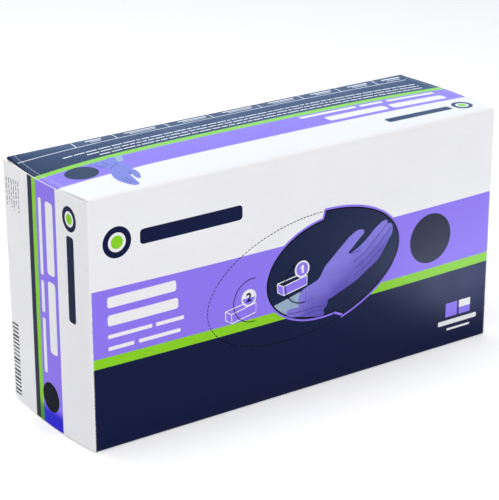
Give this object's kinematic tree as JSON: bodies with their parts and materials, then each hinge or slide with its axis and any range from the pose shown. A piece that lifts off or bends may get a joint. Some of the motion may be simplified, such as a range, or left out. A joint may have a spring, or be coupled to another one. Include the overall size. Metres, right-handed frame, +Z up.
{
  "type": "disposable glove dispenser carton",
  "caption": "Sealed folding-board carton of flat-stacked disposable gloves, with a staged oval tear-out in its large face and glued, bowed end flaps.",
  "frame": {"origin": "middle of the base, on the surface the carton stands on", "axes": "+X along the carton's length, -Y out of the dispensing face, +Z up"},
  "size_m": [0.246, 0.075, 0.125],
  "materials": {
    "printed_board": "satin",
    "printed_tear_out_board": "satin",
    "plain_board": "matte",
    "hot_melt_glue": "satin",
    "nitrile_gloves": "matte"
  },
  "bodies": {
    "carton": {"front_panel": "printed_board", "top_panel": "printed_board", "back_panel": "printed_board", "bottom_panel": "printed_board", "seam_flap": "plain_board", "seam_glue": "hot_melt_glue", "glove_bundle_01": "nitrile_gloves", "glove_bundle_02": "nitrile_gloves", "glove_bundle_03": "nitrile_gloves", "glove_bundle_04": "nitrile_gloves", "glove_bundle_05": "nitrile_gloves", "glove_bundle_06": "nitrile_gloves", "glove_bundle_07": "nitrile_gloves", "glove_bundle_08": "nitrile_gloves", "glove_bundle_09": "nitrile_gloves", "glove_bundle_10": "nitrile_gloves"},
    "tear_out_1": {"tear_out_1": "printed_tear_out_board"},
    "tear_out_2": {"tear_out_2": "printed_tear_out_board"},
    "finger_tab_1": {"finger_tab_1": "printed_tear_out_board"},
    "finger_tab_2": {"finger_tab_2": "printed_tear_out_board"},
    "left_outer_flap": {"left_outer_flap": "printed_board"},
    "left_inner_flap": {"left_inner_flap": "plain_board", "left_inner_flap_glue": "hot_melt_glue"},
    "left_top_dust_flap": {"left_top_dust_flap": "plain_board", "left_top_dust_glue": "hot_melt_glue"},
    "left_bottom_dust_flap": {"left_bottom_dust_flap": "plain_board", "left_bottom_dust_glue": "hot_melt_glue"},
    "right_outer_flap": {"right_outer_flap": "printed_board"},
    "right_inner_flap": {"right_inner_flap": "plain_board", "right_inner_flap_glue": "hot_melt_glue"},
    "right_top_dust_flap": {"right_top_dust_flap": "plain_board", "right_top_dust_glue": "hot_melt_glue"},
    "right_bottom_dust_flap": {"right_bottom_dust_flap": "plain_board", "right_bottom_dust_glue": "hot_melt_glue"}
  },
  "joints": [
    {"name": "left_outer_crease", "type": "hinge", "parent": "carton", "child": "left_outer_flap", "pos_m": [-0.12, -0.0375, 0.0625], "axis": [0, 0, 1], "range_deg": [0, 170]},
    {"name": "left_inner_crease", "type": "hinge", "parent": "carton", "child": "left_inner_flap", "pos_m": [-0.11919, 0.0375, 0.0625], "axis": [0, 0, -1], "range_deg": [0, 170]},
    {"name": "left_top_dust_crease", "type": "hinge", "parent": "carton", "child": "left_top_dust_flap", "pos_m": [-0.11988, 0, 0.125], "axis": [0, 1, 0], "range_deg": [0, 85]},
    {"name": "left_bottom_dust_crease", "type": "hinge", "parent": "carton", "child": "left_bottom_dust_flap", "pos_m": [-0.11988, 0, 0], "axis": [0, -1, 0], "range_deg": [0, 85]},
    {"name": "right_outer_crease", "type": "hinge", "parent": "carton", "child": "right_outer_flap", "pos_m": [0.12, -0.0375, 0.0625], "axis": [0, 0, -1], "range_deg": [0, 170]},
    {"name": "right_inner_crease", "type": "hinge", "parent": "carton", "child": "right_inner_flap", "pos_m": [0.11919, 0.0375, 0.0625], "axis": [0, 0, 1], "range_deg": [0, 170]},
    {"name": "right_top_dust_crease", "type": "hinge", "parent": "carton", "child": "right_top_dust_flap", "pos_m": [0.11988, 0, 0.125], "axis": [0, -1, 0], "range_deg": [0, 85]},
    {"name": "right_bottom_dust_crease", "type": "hinge", "parent": "carton", "child": "right_bottom_dust_flap", "pos_m": [0.11988, 0, 0], "axis": [0, 1, 0], "range_deg": [0, 85]},
    {"name": "tear_out_1_lift", "type": "slide", "parent": "carton", "child": "tear_out_1", "axis": [0, -1, 0], "range_m": [0, 0.06]},
    {"name": "finger_tab_1_crease", "type": "hinge", "parent": "tear_out_1", "child": "finger_tab_1", "pos_m": [-0.00015, -0.037, 0.0594], "axis": [0, 0, -1], "range_deg": [0, 55]},
    {"name": "tear_out_2_lift", "type": "slide", "parent": "carton", "child": "tear_out_2", "axis": [0, -1, 0], "range_m": [0, 0.06]},
    {"name": "finger_tab_2_crease", "type": "hinge", "parent": "tear_out_2", "child": "finger_tab_2", "pos_m": [-0.03005, -0.037, 0.0568], "axis": [0, 0, -1], "range_deg": [0, 55]}
  ],
  "couplings": [
    {"joint": "left_inner_crease", "follows": "left_outer_crease", "ratio": 1},
    {"joint": "left_top_dust_crease", "follows": "left_outer_crease", "ratio": 0.5},
    {"joint": "left_bottom_dust_crease", "follows": "left_outer_crease", "ratio": 0.5},
    {"joint": "right_inner_crease", "follows": "right_outer_crease", "ratio": 1},
    {"joint": "right_top_dust_crease", "follows": "right_outer_crease", "ratio": 0.5},
    {"joint": "right_bottom_dust_crease", "follows": "right_outer_crease", "ratio": 0.5}
  ]
}
